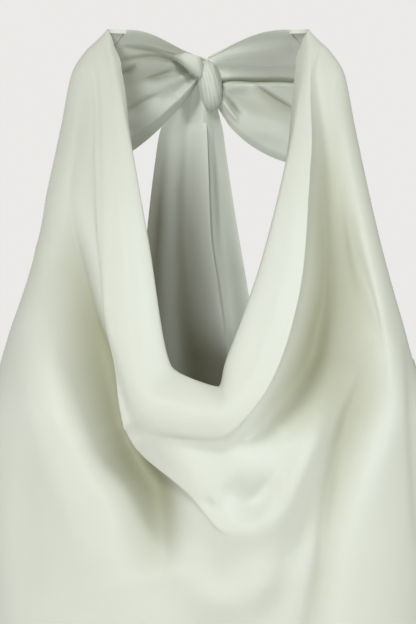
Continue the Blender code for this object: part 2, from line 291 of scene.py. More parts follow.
@dataclass(frozen=True)
class Crease:
    """A soft crease along a path (x, z) in the front view. A trough has a push below zero.

    before is its width to the left of its run and after to the right. A higher fade ends it sooner.
    """

    path: tuple[tuple[float, float], ...]
    before: float
    after: float
    push: float
    fade: float = 0.6

    def pushes(self, x: Grid, z: Grid) -> Grid:
        """How far the crease pushes each place out.

        Args:
            x: X of each place.
            z: Height of each place.

        Returns:
            The push.
        """
        knots = np.arange(len(self.path))
        line = ease(knots, np.array(self.path, float), np.linspace(0, len(self.path) - 1, 40))
        best = np.full(np.shape(x), 1e9)
        lean, ends = np.zeros_like(best), np.zeros_like(best)
        for i, (start, end) in enumerate(zip(line[:-1], line[1:])):
            run = end - start
            t = np.clip(((x - start[0]) * run[0] + (z - start[1]) * run[1]) / (run @ run), 0.0, 1.0)
            dx, dz = x - start[0] - t * run[0], z - start[1] - t * run[1]
            gap = np.hypot(dx, dz)
            across = (dz * run[0] - dx * run[1]) / np.linalg.norm(run)
            near = gap < best
            best = np.where(near, gap, best)
            lean = np.where(near, across / (gap + 0.5), lean)
            ends = np.where(near, (i + t) / (len(line) - 1), ends)
        width = (self.before + self.after) / 2 + lean * (self.before - self.after) / 2
        along = np.sin(math.pi * np.clip(ends, 0.02, 0.98)) ** self.fade
        return self.push * along * np.exp(-((best / width) ** 2))


class Node:
    """A shader socket with arithmetic, so that maths reads as maths."""

    def __init__(self, graph: Graph, socket: bpy.types.NodeSocket) -> None:
        """Wraps one output socket.

        Args:
            graph: The graph that holds it.
            socket: The output.
        """
        self.graph = graph
        self.socket = socket

    def _maths(self, operation: str, other: Node | float, swap: bool = False) -> Node:
        pair = (other, self) if swap else (self, other)
        return self.graph.maths(operation, *pair)

    def __add__(self, other: Node | float) -> Node:
        return self._maths("ADD", other)

    __radd__ = __add__

    def __sub__(self, other: Node | float) -> Node:
        return self._maths("SUBTRACT", other)

    def __rsub__(self, other: Node | float) -> Node:
        return self._maths("SUBTRACT", other, swap=True)

    def __mul__(self, other: Node | float) -> Node:
        return self._maths("MULTIPLY", other)

    __rmul__ = __mul__


class Graph:
    """A node tree that is written as code."""

    def __init__(self, tree: bpy.types.NodeTree) -> None:
        """Starts on an empty tree.

        Args:
            tree: The tree, which is cleared.
        """
        self.tree = tree
        tree.nodes.clear()

    def link(self, value: object, socket: bpy.types.NodeSocket) -> None:
        """Feeds a socket from a node, or sets it to a constant.

        Args:
            value: A Node, or a plain value.
            socket: The input.
        """
        if isinstance(value, Node):
            self.tree.links.new(value.socket, socket)
        else:
            socket.default_value = value

    def add(
        self,
        kind: str,
        settings: dict[str, object] | None = None,
        inputs: dict[str | int, object] | None = None,
        output: str | int = 0,
    ) -> Node:
        """Adds one node.

        Args:
            kind: The node's type.
            settings: Its properties.
            inputs: Values or nodes for its inputs.
            output: Which output is wanted.

        Returns:
            That output.
        """
        node = self.tree.nodes.new(kind)
        for name, value in (settings or {}).items():
            setattr(node, name, value)
        for key, value in (inputs or {}).items():
            self.link(value, node.inputs[key])
        return Node(self, node.outputs[output])

    def close(self, kind: str, surface: Node) -> None:
        """Adds the output node.

        Args:
            kind: The output node's type.
            surface: What it shows.
        """
        node = self.tree.nodes.new(kind)
        self.link(surface, node.inputs["Surface"])

    def maths(self, operation: str, *values: Node | float) -> Node:
        """One step of arithmetic.

        Args:
            operation: The Math node's operation.
            values: Its inputs in order.

        Returns:
            The result.
        """
        return self.add("ShaderNodeMath", {"operation": operation}, dict(enumerate(values)))

    def blend(self, amount: Node | float, first: object, second: object) -> Node:
        """Mixes two colours.

        Args:
            amount: 0 gives the first and 1 the second.
            first: A colour.
            second: A colour.

        Returns:
            The colour between.
        """
        inputs = {"Factor_Float": amount, "A_Color": first, "B_Color": second}
        node = self.tree.nodes.new("ShaderNodeMix")
        node.data_type = "RGBA"
        for socket in node.inputs:
            if socket.identifier in inputs:
                self.link(inputs[socket.identifier], socket)
        return Node(self, next(s for s in node.outputs if s.enabled))


def linear(red: int, green: int, blue: int) -> tuple[float, float, float, float]:
    """A screen colour as the renderer's linear one.

    Args:
        red: 0 to 255.
        green: 0 to 255.
        blue: 0 to 255.

    Returns:
        Linear red, green, blue and alpha.
    """
    channels = [c / 255 for c in (red, green, blue)]
    return (*(c / 12.92 if c < 0.04045 else ((c + 0.055) / 1.055) ** 2.4 for c in channels), 1.0)


@dataclass(frozen=True)
class SatinFinish:
    """Pale green satin with a fine weave, soft undulations and a low sheen, with shade painted into its folds
    and a faint random mottle.
    """

    base: tuple[float, float, float, float] = linear(204, 209, 200)
    # deep: the painted shade colour for troughs; the random mottle also leans a little towards it.
    deep: tuple[float, float, float, float] = linear(154, 156, 130)
    roughness: float = 0.5
    sheen: float = 0.12

    def build(self, name: str) -> bpy.types.Material:
        """Makes the material.

        Args:
            name: Its name.

        Returns:
            The material.
        """
        material = bpy.data.materials.new(name)
        material.use_nodes = True
        graph = Graph(material.node_tree)
        flat = graph.add("ShaderNodeUVMap", {"uv_map": "UVMap"})
        solid = graph.add("ShaderNodeTexCoord", output="Object")
        slub = graph.add(
            "ShaderNodeMapping", {}, {"Vector": flat, "Scale": (240.0, 2600.0, 1.0)}
        )
        thread = graph.add("ShaderNodeTexNoise", {}, {"Vector": slub, "Scale": 1.0, "Detail": 2.0})
        cross = graph.add(
            "ShaderNodeMapping", {}, {"Vector": flat, "Scale": (1900.0, 420.0, 1.0)}
        )
        weft = graph.add("ShaderNodeTexNoise", {}, {"Vector": cross, "Scale": 1.0, "Detail": 1.0})
        ripple = graph.add("ShaderNodeTexNoise", {}, {"Vector": solid, "Scale": 16.0, "Detail": 2.0})
        cloud = graph.add("ShaderNodeTexNoise", {}, {"Vector": solid, "Scale": 6.0, "Detail": 1.0})
        # fold: how much painted shade each point gets; tone is the base colour with that shade painted in.
        fold = graph.add("ShaderNodeAttribute", {"attribute_name": "fold"}, output="Fac")
        weave = thread * 0.6 + weft * 0.4
        tone = graph.blend(fold, self.base, self.deep)
        shade = graph.add(
            "ShaderNodeMapRange",
            {"interpolation_type": "SMOOTHSTEP"},
            {"Value": weave * 0.5 + cloud * 0.5, "From Min": 0.3, "From Max": 0.7},
        )
        tone = graph.blend(shade * 0.07, tone, self.deep)
        rough = self.roughness + (weave - 0.5) * 0.12 + fold * 0.08
        fine = graph.add(
            "ShaderNodeBump", {}, {"Height": weave, "Distance": 0.00005, "Strength": 0.6}
        )
        normal = graph.add(
            "ShaderNodeBump", {}, {"Height": ripple, "Distance": 0.0012, "Strength": 0.5, "Normal": fine}
        )
        shader = graph.add(
            "ShaderNodeBsdfPrincipled",
            {},
            {
                "Base Color": tone,
                "Roughness": rough,
                "Normal": normal,
                "Specular IOR Level": 0.32,
                "Sheen Weight": self.sheen,
                "Sheen Roughness": 0.45,
            },
        )
        graph.close("ShaderNodeOutputMaterial", shader)
        return material


@dataclass(frozen=True)
class PlainFinish:
    """A matt single-tone finish for the studio floor."""

    tone: tuple[float, float, float, float] = linear(232, 231, 228)

    def build(self, name: str) -> bpy.types.Material:
        """Makes the material.

        Args:
            name: Its name.

        Returns:
            The material.
        """
        material = bpy.data.materials.new(name)
        material.use_nodes = True
        graph = Graph(material.node_tree)
        solid = graph.add("ShaderNodeTexCoord", output="Object")
        speck = graph.add("ShaderNodeTexNoise", {}, {"Vector": solid, "Scale": 40.0})
        shader = graph.add(
            "ShaderNodeBsdfPrincipled", {}, {"Base Color": self.tone, "Roughness": 0.85 + speck * 0.1}
        )
        graph.close("ShaderNodeOutputMaterial", shader)
        return material


@dataclass
class Sheet:
    """One piece of cloth, from a grid of its middle points in millimetres.

    Args:
        name: The piece's name.
        grid: Rows by columns by x, y and z.
        thickness: The cloth's thickness.
        fold: How deep in a fold each point lies, 0 to 1; the satin darkens it by that much as painted shade.
    """

    name: str
    grid: Grid
    thickness: float = 0.9
    fold: Grid | None = None

    def normals(self) -> Grid:
        """Unit normals of the grid.

        Returns:
            One for each point.
        """
        across = np.cross(np.gradient(self.grid, axis=0), np.gradient(self.grid, axis=1))
        return across / np.maximum(np.linalg.norm(across, axis=2), 1e-9)[..., None]

    def outer(self, lift: float = 0.05) -> Grid:
        """The cloth's outer face.

        Args:
            lift: How far above it.

        Returns:
            Its points.
        """
        return self.grid + self.normals() * (self.thickness / 2 + lift)

    def area(self) -> float:
        """The sheet's own area.

        Returns:
            Square metres.
        """
        a = self.grid[1:, 1:] - self.grid[:-1, :-1]
        b = self.grid[1:, :-1] - self.grid[:-1, 1:]
        return float(np.linalg.norm(np.cross(a, b), axis=2).sum() / 2) * MM * MM

    def build(self, material: bpy.types.Material) -> bpy.types.Object:
        """Makes the mesh: two faces and a rim that joins them.

        Args:
            material: Its finish.

        Returns:
            The object.
        """
        rows, columns = self.grid.shape[:2]
        count = rows * columns
        half = self.normals() * self.thickness / 2
        points = np.concatenate([(self.grid + half).reshape(-1, 3), (self.grid - half).reshape(-1, 3)])
        index = np.arange(count).reshape(rows, columns)
        corners = [index[:-1, :-1], index[1:, :-1], index[1:, 1:], index[:-1, 1:]]
        front = np.stack(corners, axis=-1).reshape(-1, 4)
        back = front[:, ::-1] + count
        loop = np.concatenate([index[0, :-1], index[:-1, -1], index[-1, :0:-1], index[:0:-1, 0]])
        after = np.roll(loop, -1)
        rim = np.stack([loop, after, after + count, loop + count], axis=-1)
        faces = np.concatenate([front, back, rim])
        mesh = bpy.data.meshes.new(self.name)
        mesh.from_pydata((points * MM).tolist(), [], faces.tolist())
        mesh.materials.append(material)
        step = np.linalg.norm(np.diff(self.grid, axis=1), axis=2).mean(axis=0)
        fall = np.linalg.norm(np.diff(self.grid, axis=0), axis=2).mean(axis=1)
        u = np.concatenate([[0.0], step.cumsum()]) * MM
        v = np.concatenate([[0.0], fall.cumsum()]) * MM
        flat = np.stack(np.meshgrid(u, v), axis=-1).reshape(-1, 2)
        flat = np.concatenate([flat, flat])
        layer = mesh.uv_layers.new(name="UVMap")
        layer.data.foreach_set("uv", flat[faces.ravel()].ravel())
        # The fold attribute carries the painted shade that the satin material darkens the cloth by.
        depth = np.zeros(count) if self.fold is None else np.clip(self.fold, 0.0, 1.0).ravel()
        fold = mesh.attributes.new("fold", "FLOAT", "POINT")
        fold.data.foreach_set("value", np.concatenate([depth, depth]))
        mesh.shade_smooth()
        mesh.set_sharp_from_angle(angle=math.radians(60))
        piece = bpy.data.objects.new(self.name, mesh)
        bpy.context.scene.collection.objects.link(piece)
        return piece


@dataclass
class Piece:
    """What each piece of the dress is made from.

    Args:
        sizes: Its shape.
        finish: Its material.
    """

    sizes: object
    finish: bpy.types.Material


def hand_over(
    piece: bpy.types.Object,
    node: str,
    with_pieces: Sequence[bpy.types.Object] = (),
) -> None:
    """Attaches a cloth piece and what is sewn on it to the body, and hides the solid that it stands for.

    Args:
        piece: The cloth.
        node: The solid that it stands for.
        with_pieces: What is sewn on it.
    """
    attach(piece, BODY)
    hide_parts(node)
    for other in with_pieces:
        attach(other, BODY)
    LOG.info("%s: %d faces", piece.name, len(piece.data.polygons))


FORM = BodyForm(
    rows=(
        (8, 64.0, 6, 2, 60),
        (0, 67.0, 6, 5, 62),
        (-7, 73.0, 6, 13, 64),
        (-15, 81.5, 6, 21, 66),
        (-30, 91.0, 6, 36, 70),
        (-48, 95.0, 6, 53, 74),
        (-60, 97.0, 4, 62, 76),
        (-95, 103.5, -14, 83, 80),
        (-130, 111.0, -26, 99, 84),
        (-182, 124.5, -20, 115, 88),
        (-222, 137.5, 0, 124, 90),
        (-265, 148.0, 0, 130, 92),
        (-340, 149.0, 0, 125, 90),
        (-420, 147.0, 0, 117, 86),
        (-500, 158.0, 0, 115, 98),
        (-620, 182.0, 0, 121, 122),
        (-800, 198.0, 0, 128, 128),
        (-1000, 216.0, 0, 137, 136),
        (-1200, 233.0, 0, 146, 145),
        (-1400, 248.0, 0, 154, 153),
    ),
    flutes=(
        Flute(-152, -560, 24, 19),
        Flute(-112, -520, 20, 17),
        Flute(-74, -500, 23, 18),
        Flute(-41, -540, 18, 15),
        Flute(-12, -620, 21, 16),
        Flute(21, -560, 17, 15),
        Flute(52, -520, 24, 18),
        Flute(88, -500, 19, 16),
        Flute(124, -560, 24, 19),
        Flute(163, -600, 20, 17),
    ),
    hem=-1390.0,
    underarm=-222.0,
)


@dataclass(frozen=True)
class Shoulder:
    """The halter over the shoulder: its outer edge's height on the ridge, and the angles of seam and ridge.

    Next to the neck the seam lies at neck_angle, down to the height turn.
    """

    outer: float = -57.0
    neck_angle: float = 124.0
    turn: float = -19.0
    crest: float = 88.0

    def seam(self, height: Grid) -> Grid:
        """Where the seam lies round the body.

        Args:
            height: Heights on the seam.

        Returns:
            Degrees.
        """
        run = np.clip((height - self.outer) / (self.turn - self.outer), 0.0, 1.0)
        return SIDE_ANGLE + (self.neck_angle - SIDE_ANGLE) * run


SHOULDER = Shoulder()


@dataclass(frozen=True)
class FrontSizes:
    """Rows of the front panel.

    Each cowl row is its height on the shoulder ridges, then (across, height, off) at left neck, left chest,
    left side, left low, middle, bottom, right low, right side, right chest and right neck. Each plain row is
    its height at the side, its height at the middle, the power of the curve between them and how far it
    swells out. Both end with the mesh rows that lead on to the next row.
    """

    flat: tuple[float, float] = (0.80, 1.45)
    area: float = 0.78
    stations: Row = (-1, -0.94, -0.84, -0.67, -0.46, -0.25, -0.07, 0.06, 0.20, 0.44, 0.67, 0.84, 0.94, 1)
    cowl: tuple[tuple, ...] = (
        # neckline edge
        (-0.5, (-63, -22, 0), (-54, -67, 2), (-39, -142, 3), (-22.5, -226, 4), (-12, -232, 5),
         (6.5, -238, 4), (11.3, -222, 4), (33, -162, 3), (54, -82, 2), (64.5, -21, 0), 12),
        # first roll
        (-2.5, (-67, -26, 3), (-61, -78, 9), (-52, -165, 14), (-42, -243, 17), (-17, -251, 19),
         (5, -254, 18), (23, -238, 15), (47, -174, 12), (61, -88, 7), (66.5, -24, 2), 12),
        # first contour
        (-5, (-71, -30, 3), (-68, -85, 8), (-65, -190, 13), (-57, -256, 16), (-20, -267, 15.5),
         (6, -269, 14), (31, -249, 14), (57, -186, 13), (67.5, -92, 9), (68, -27, 2), 6),
        # first tuck
        (-7, (-73, -32, 2.5), (-70, -88, 7), (-66, -196, 12.5), (-57, -260, 15.5), (-19, -271, 13),
         (8, -273, 11.5), (28, -250, 6), (50, -186, 0), (62, -93, 0), (69.5, -29, 0.5), 6),
        # first trough
        (-9, (-74.5, -34, 2), (-71.5, -91, 6.5), (-66, -202, 12), (-56.5, -264, 15), (-17, -276, 12.5),
         (12, -279, 10.5), (38, -260, -4), (74, -206, -15), (77, -108, -12), (72, -32, -2), 12),
        # second fold
        (-13, (-76, -36, 2), (-73, -95, 6), (-65.5, -208, 11.5), (-56, -268, 14.5), (-15, -289, 14),
         (14, -301, 11.5), (48, -282, 3), (86, -220, -10), (88, -126, -10), (76.5, -36, -1), 12),
        # second contour
        (-19, (-78, -39, 1.5), (-74, -99, 5), (-64.5, -215, 11), (-54.5, -273, 14), (-14, -304, 13),
         (12.5, -328, 12), (54, -295, 6), (93, -233, -10), (95, -140, -10), (81, -41, 0), 8),
        # second tuck
        (-23, (-80, -42, 1), (-77, -103, 3), (-59, -217, 1), (-48.5, -270, 2), (-10, -303, 5.5),
         (13, -334, 11.5), (57, -301, 6.4), (97, -241, -8.5), (99, -148, -9), (84, -45, 0), 8),
        # second trough
        (-32, (-85, -49, 0), (-90, -112, -1.5), (-71, -226, -9), (-53, -284, -9), (-13, -315, -1),
         (13, -345, 10), (63, -313, 6.5), (105, -258, -3.5), (108, -168, -3.5), (88, -51, 0), 16),
    )
    plain: tuple[Row, ...] = (
        (-57, -366, 1.4, 7, 10),
        (-105, -380, 1.5, 5.6, 10),
        (-163, -394, 1.6, 4.3, 10),
        (-222, -410, 1.7, 3, 8),
        (-290, -434, 1.8, 1.8, 8),
        (-365, -464, 1.9, 0.8, 7),
        (-450, -500, 2.0, 0, 7),
        (-550, -575, 2.0, 0, 8),
        (-680, -690, 2.0, 0, 8),
        (-850, -850, 2.0, 0, 8),
        (-1030, -1030, 2.0, 0, 8),
        (-1210, -1210, 2.0, 0, 10),
        (-1390, -1390, 2.0, 0, 0),
    )
    swell_middle: float = 0.12
    swell_width: float = 0.38
    shade_depth: float = 22.0
    shade_most: float = 0.95
    right_power: float = 0.8
    soften_rounds: int = 4
    calm_from: float = 0.12
    calm_over: float = 0.16
    calm_row: float = 5.3
    calm_rounds: int = 70
    facing_steps: int = 8
    facing_reach: float = 0.6
    facing_depth: float = 8.0
    facing_end_depth: float = 3.0
    facing_crest: float = -3.0
    hem_width: float = 12.0
    arm_columns: tuple[int, int] = (2, -3)
    columns: int = 176
    column_power: float = 0.92
    creases: tuple[Crease, ...] = (
        # valley beside and below the first fold
        Crease(((-94, -140), (-85, -186), (-71, -222), (-61, -250), (-52, -276)), 10, 23, -15, 0.5),
        Crease(((-58, -262), (-50, -280), (-38, -298), (-34, -331), (-28, -362)), 17, 22, -17, 0.45),
        # the deepest part of the right trough
        Crease(((78, -100), (87, -165), (78, -207), (62, -240), (44, -264)), 18, 15, -9, 0.5),
        # long ridge on the left, with a faint trough beside it
        Crease(((-122, -205), (-112, -237), (-97, -287), (-84, -325), (-76, -362)), 16, 14, 4),
        Crease(((-119, -285), (-115, -330), (-111, -384)), 12, 12, -2),
        # long ridge on the right, with a trough on each side
        Crease(((107, -205), (97, -236), (84, -275), (74, -315), (67, -362), (62, -405)), 9, 8, 6),
        Crease(
            ((110, -205), (104, -238), (92.5, -275), (82, -321), (73, -366), (66, -408), (60, -450)), 11, 14, -13
        ),
        Crease(
            ((95, -225), (87, -262), (76, -295), (64, -328), (52, -358), (42, -392), (35, -425)), 11, 13, -8
        ),
        # upright dent in front of the right side seam
        Crease(((131, -205), (134, -228), (134, -257), (137, -317), (139, -350)), 5, 4, -2.4),
        # third swag and the dimple above it
        Crease(((-24, -364), (8, -376), (34, -366), (60, -344)), 13, 12, 3.5),
        Crease(((0, -312), (4, -314)), 3, 3, -3, 0.2),
        # hollow under the first fold
        Crease(((-14, -277), (8, -281), (31, -266), (48, -240)), 5, 13, -3, 0.4),
        # hollow and rounded lower ridge of the second fold
        Crease(((12, -298), (28, -311), (45, -297)), 12, 10, -10, 0.5),
        Crease(((8, -330), (30, -325), (47, -306), (60, -286), (72, -260)), 8, 13, 5, 0.5),
    )


class FrontPanel(Piece):
    """The front: a draped cowl over a long skirt."""

    sizes: FrontSizes

    def _cowl_row(self, row: tuple) -> Grid:
        crest, *stations = row[:-1]
        across, height, off = np.array(stations, float).T
        angle = FORM.angle_of(across, height, off)
        seam = float(SHOULDER.seam(np.array(crest)))
        ends = [(seam, crest, 0.0), (SHOULDER.crest, crest, 0.0)]
        left = [(-a, h, o) for a, h, o in ends]
        return np.array([*left, *zip(angle, height, off), *ends[::-1]], float)

    def _facing_row(self, edge: Grid, roll: Grid) -> Grid:
        row = edge + self.sizes.facing_reach * (roll - edge)
        row[:, 2] = edge[:, 2] - self.sizes.facing_depth
        ends = [0, 1, -2, -1]
        row[ends, 1] = self.sizes.facing_crest
        row[ends, 2] = -self.sizes.facing_end_depth
        return row

    def _grid(self) -> tuple[Grid, Grid]:
        sizes = self.sizes
        across = np.linspace(-1.0, 1.0, sizes.columns + 1)
        across = np.sign(across) * np.abs(across) ** sizes.column_power
        cowl = [self._cowl_row(row) for row in sizes.cowl]
        cowl.insert(0, self._facing_row(cowl[0], cowl[1]))
        rows = [ease(sizes.stations, row, across) for row in cowl]
        bump = np.exp(-(((across - sizes.swell_middle) / sizes.swell_width) ** 2))
        for side, middle, power, swell, _ in sizes.plain:
            bend = power + np.where(across > 0.0, sizes.right_power, 0.0)
            rows.append(hung_row(across, side, middle, bend, swell * bump))
        steps = [sizes.facing_steps, *(row[-1] for row in (*sizes.cowl, *sizes.plain[:-1]))]
        net, places = fill_in(rows, steps)
        net = soften(net, sizes.soften_rounds)
        calm = np.clip((across - sizes.calm_from) / sizes.calm_over, 0.0, 1.0)
        calm = calm * np.clip(places[:, None] - sizes.calm_row, 0.0, 1.0)
        net = net + calm[..., None] * (soften(net, sizes.calm_rounds) - net)
        angle, height, off = net[..., 0], net[..., 1], net[..., 2]
        draft = FORM.place(angle, height, off)
        shown = np.arange(len(places))[:, None] >= sizes.facing_steps
        for crease in sizes.creases:
            off = off + shown * crease.pushes(draft[..., 0], draft[..., 2])
        return FORM.place(angle, height, off), off

    def build(self, stitching: Stitching) -> bpy.types.Object:
        """Makes and hands over the panel.

        Args:
            stitching: What lays its stitches.

        Returns:
            The piece.
        """
        sizes = self.sizes
        grid, off = self._grid()
        # Painted shade: the deeper the cloth sinks into a trough, the more the satin darkens it.
        sheet = Sheet("front_panel", grid, fold=np.clip(-off / sizes.shade_depth, 0.0, sizes.shade_most))
        piece = sheet.build(self.finish)
        outer = sheet.outer()
        arm = np.flatnonzero((outer[:, 0, 2] < SHOULDER.outer) & (outer[:, 0, 2] > FORM.underarm))
        paths = [inset(outer[-1], outer[-2], sizes.hem_width), *(outer[arm, k] for k in sizes.arm_columns)]
        seam = stitching.build("front_stitches", paths)
        hand_over(piece, "front", [seam])
        return piece


@dataclass(frozen=True)
class BackSizes:
    """Rows of the back panel: height at the side, height at the middle, power of the curve between."""

    flat: tuple[float, float] = (0.70, 1.10)
    area: float = 0.58
    rows: tuple[Row, ...] = (
        (-222, -345, 2.2),
        (-252, -362, 2.2),
        (-300, -388, 2.1),
        (-365, -425, 2.0),
        (-450, -480, 2.0),
        (-550, -560, 2.0),
        (-680, -680, 2.0),
        (-850, -850, 2.0),
        (-1030, -1030, 2.0),
        (-1210, -1210, 2.0),
        (-1390, -1390, 2.0),
    )
    steps: int = 12
    columns: int = 110
    seam_gap: float = 0.5
    hem_width: float = 8.0
    creases: tuple[Crease, ...] = (
        # soft pulls from the underarms and down from the low edge
        Crease(((-120, -250), (-84, -322), (-52, -372), (-30, -398)), 14, 12, 6),
        Crease(((-128, -285), (-100, -345), (-72, -395)), 12, 14, -5),
        Crease(((116, -246), (88, -316), (62, -362), (34, -392)), 12, 13, 5),
        Crease(((126, -292), (106, -352), (84, -412)), 13, 12, -6),
        Crease(((-38, -372), (-46, -430), (-40, -505)), 12, 15, -5),
        Crease(((22, -360), (14, -424), (24, -500)), 13, 12, 5),
        Crease(((70, -370), (62, -440), (68, -520)), 14, 12, -4.5),
    )


class BackPanel(Piece):
    """The back, cut low in a soft curve."""

    sizes: BackSizes

    def _grid(self) -> Grid:
        sizes = self.sizes
        across = np.linspace(-1.0, 1.0, sizes.columns + 1)
        rows = [hung_row(across, *row) for row in sizes.rows]
        net, _ = fill_in(rows, [sizes.steps] * (len(rows) - 1))
        angle, height = net[..., 0] % 360.0 - 180.0, net[..., 1]
        draft = FORM.place(angle, height, 0.0 * angle)
        off = sum(crease.pushes(draft[..., 0], draft[..., 2]) for crease in sizes.creases)
        grid = FORM.place(angle, height, off)
        grid[..., 1] += sizes.seam_gap
        return grid

    def build(self, stitching: Stitching) -> bpy.types.Object:
        """Makes and hands over the panel.

        Args:
            stitching: What lays its stitches.

        Returns:
            The piece.
        """
        sizes = self.sizes
        sheet = Sheet("back_panel", self._grid())
        piece = sheet.build(self.finish)
        outer = sheet.outer()
        edges = ((outer[-1], outer[-2]), (outer[0], outer[1]))
        seam = stitching.build("back_stitches", [inset(*edge, sizes.hem_width) for edge in edges])
        hand_over(piece, "back", [seam])
        return piece


@dataclass(frozen=True)
class KnotSizes:
    """The knot's sections from left to right (across, height, half_height, half_depth), and its outer turn.

    Each wrap row is a place along the turn, then the height of its top edge, the height of its bottom edge
    and its y. The last place is where the turn goes into the knot.
    """

    middle_y: float = 78.0
    sections: tuple[Row, ...] = (
        (-7.0, -27, 7, 4),
        (-6.2, -28, 9, 7),
        (-5.0, -29.5, 12, 9),
        (-3.2, -32, 15.5, 11.5),
        (0, -34.5, 17.8, 13),
        (3.4, -35.5, 17, 13),
        (6.2, -36.5, 14.5, 11.5),
        (8.3, -37, 11, 9),
        (9.6, -37.5, 7, 6),
    )
    wrap: tuple[Row, ...] = (
        (-27, -12.6, -14.2, 62.0),
        (-23, -12.2, -16.6, 62.5),
        (-17.5, -12.4, -20.4, 63.2),
        (-12.5, -13.2, -24.4, 64.0),
        (-8, -14.2, -27.6, 64.6),
        (-5.2, -16.4, -29.6, 66.8),
        (-4.0, -18.8, -30.0, 70.0),
    )
    pleat_gap: float = 3.4
    pleat_depth: float = 1.3
    pleat_power: float = 0.6
    pleat_level: float = 0.7
    lean: float = 0.3
    fan: float = 0.004
    fan_height: float = -30.0
    least: float = 0.3
    patch_middle: Row = (-1.0, -41.0)
    patch_width: Row = (7.0, 15.0)
    bow: float = 1.6
    tuck: float = 2.2
    tuck_power: int = 6
    gap: float = 0.2
    rings: int = 110
    round_steps: int = 160
    wrap_steps: int = 8
    wrap_across: int = 40

    def side(self, side: Side, height: Grid) -> Grid:
        """How far across the knot reaches at each height.

        Args:
            side: Which side.
            height: Heights.

        Returns:
            X of the knot's side.
        """
        table = np.array(self.sections, float)
        across = np.linspace(table[0, 0], table[-1, 0], 200)
        middle = np.interp(across, table[:, 0], table[:, 1])
        reach = np.interp(across, table[:, 0], table[:, 2])
        covered = np.abs(np.asarray(height)[:, None] - middle) <= reach
        return side.value * np.where(covered, side.value * across, 0.0).max(axis=1)


class Knot(Piece):
    """The ties wrapped round each other at the nape."""

    sizes: KnotSizes

    def _body(self) -> bpy.types.Object:
        sizes = self.sizes
        table = np.array(sizes.sections, float)
        spread = np.linspace(0.0, math.pi, sizes.rings)
        across = (table[0, 0] + table[-1, 0]) / 2 - (table[-1, 0] - table[0, 0]) / 2 * np.cos(spread)
        middle, tall, deep = ease(table[:, 0], table[:, 1:], across).T[:, :, None]
        turns = np.linspace(0.0, 2 * math.pi, sizes.round_steps, endpoint=False)[None, :]
        x = across[:, None] + 0.0 * turns
        z = middle + tall * np.sin(turns)
        fan = x + sizes.lean * (z - middle) + sizes.fan * (z - sizes.fan_height) ** 2
        pleat = np.abs(np.sin(math.pi * fan / sizes.pleat_gap)) ** sizes.pleat_power - sizes.pleat_level
        away = [(v - m) / w for v, m, w in zip((x, z), sizes.patch_middle, sizes.patch_width)]
        patch = sizes.least + (1 - sizes.least) * np.exp(-(away[0] ** 2) - away[1] ** 2)
        pleat *= sizes.pleat_depth * patch * np.sin(spread)[:, None] ** 0.5
        y = sizes.middle_y + (deep + pleat) * np.cos(turns)
        points = np.stack([x, y, z + pleat * np.sin(turns)], axis=-1).reshape(-1, 3) * MM
        n = sizes.round_steps
        ring, i = np.meshgrid(np.arange(sizes.rings - 1), np.arange(n), indexing="ij")
        a, b = ring * n + i, ring * n + (i + 1) % n
        faces = np.stack([a, b, b + n, a + n], axis=-1).reshape(-1, 4).tolist()
        last = (sizes.rings - 1) * n
        faces.append(list(range(n))[::-1])
        faces.append(list(range(last, last + n)))
        mesh = bpy.data.meshes.new("nape_knot")
        mesh.from_pydata(points.tolist(), [], faces)
        mesh.materials.append(self.finish)
        mesh.shade_smooth()
        layer = mesh.uv_layers.new(name="UVMap")
        corner = np.zeros(len(mesh.loops), dtype=np.int64)
        mesh.loops.foreach_get("vertex_index", corner)
        layer.data.foreach_set("uv", points[corner][:, [0, 2]].ravel())
        mesh.attributes.new("fold", "FLOAT", "POINT")
        body = bpy.data.objects.new("nape_knot", mesh)
        bpy.context.scene.collection.objects.link(body)
        return body

    def _wrap(self) -> bpy.types.Object:
        sizes = self.sizes
        rows, _ = fill_in(sizes.wrap, [sizes.wrap_steps] * (len(sizes.wrap) - 1))
        down = np.linspace(0.0, 1.0, sizes.wrap_across)[None, :]
        x, top, bottom, y = (rows[:, k][:, None] for k in range(4))
        bow = sizes.bow * np.sin(math.pi * down) - sizes.tuck * down**sizes.tuck_power
        grid = np.stack([x + 0.0 * down, y - bow, top + (bottom - top) * down], axis=-1)
        return Sheet("knot_wrap", grid[::-1], thickness=1.0).build(self.finish)

    def build(self) -> bpy.types.Object:
        """Makes and hands over the knot.

        Returns:
            The piece.
        """
        body, wrap = self._body(), self._wrap()
        for one in bpy.context.scene.objects:
            one.select_set(one in (body, wrap))
        bpy.context.view_layer.objects.active = body
        bpy.ops.object.join()
        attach(body, BODY)
        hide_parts("knot")
        LOG.info("knot: %d rings", self.sizes.rings)
        return body


@dataclass(frozen=True)
class TieSizes:
    """One neck tie from its shoulder seam to the knot.

    Each end row is seam_reach, seam_drop, knot_reach, knot_rise and knot_height. The share turned of its
    width folds back along its lower edge, as deep as turned_depth. pleats_from is the share of the length
    where the pleats start and pleats_full the share where they are full.
    """

    side: Side
    top: Row
    foot: Row
    creases: tuple[Crease, ...]
    turned: float
    turned_depth: float
    flat: tuple[float, float] = (0.11, 0.11)
    area: float = 0.0098
    thickness: float = 1.1
    shade_depth: float = 6.0
    shade_most: float = 0.5
    turned_power: float = 1.4
    turned_end: float = 0.06
    turned_fade: float = 0.5
    pleats: float = 3.0
    pleats_from: float = 0.19
    pleats_full: float = 0.81
    ahead: float = 4.0
    pleat_depth: float = 1.3
    knot_y: float = 77.0
    backward: float = 12.0
    row_power: float = 1.6
    top_height: float = -0.5
    foot_height: float = -56.5
    seam_gap: float = 0.6
    along: int = 130
    across: int = 170


